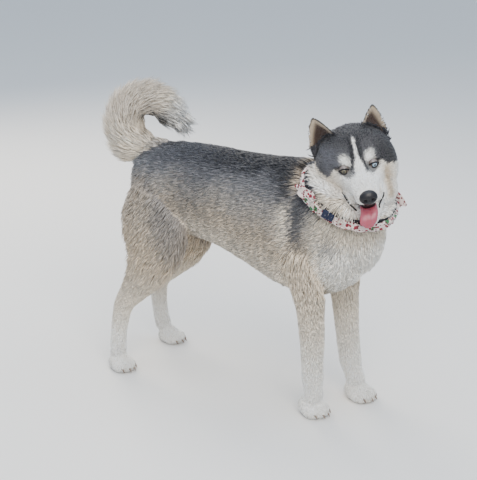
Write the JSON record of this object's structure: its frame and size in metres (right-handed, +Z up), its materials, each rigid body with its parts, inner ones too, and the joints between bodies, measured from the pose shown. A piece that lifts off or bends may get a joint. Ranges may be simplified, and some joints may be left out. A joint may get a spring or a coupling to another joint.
{
  "type": "siberian husky",
  "caption": "Life-size still model of a standing husky looking round to its right, tail curled over the back, wearing a collar and a tied neckerchief",
  "frame": {"origin": "on the floor, under the middle of the bounding box", "axes": "+X from tail to chest, +Y to the left side of the dog, +Z up"},
  "size_m": [0.8022, 0.2928, 0.7491],
  "materials": {
    "back_coat": "matte",
    "face_coat": "matte",
    "ruff_coat": "matte",
    "ear_coat": "matte",
    "eye_right": "gloss",
    "eye_left": "gloss",
    "nose_leather": "satin",
    "tongue_skin": "wet gloss",
    "leg_coat": "matte",
    "tail_coat": "matte",
    "collar_webbing": "matte",
    "printed_cotton": "matte",
    "buckle_plastic": "satin"
  },
  "bodies": {
    "root": {"torso": "back_coat", "head": "face_coat", "neck": "ruff_coat", "ear_right": "ear_coat", "eye_right": "eye_right", "ear_left": "ear_coat", "eye_left": "eye_left", "nose": "nose_leather", "tongue": "tongue_skin", "foreleg_right": "leg_coat", "foreleg_left": "leg_coat", "hindleg_right": "leg_coat", "hindleg_left": "leg_coat", "tail_base": "tail_coat", "tail_tip": "tail_coat", "collar": "collar_webbing", "bandana": "printed_cotton", "collar_buckle": "buckle_plastic"}
  },
  "joints": []
}
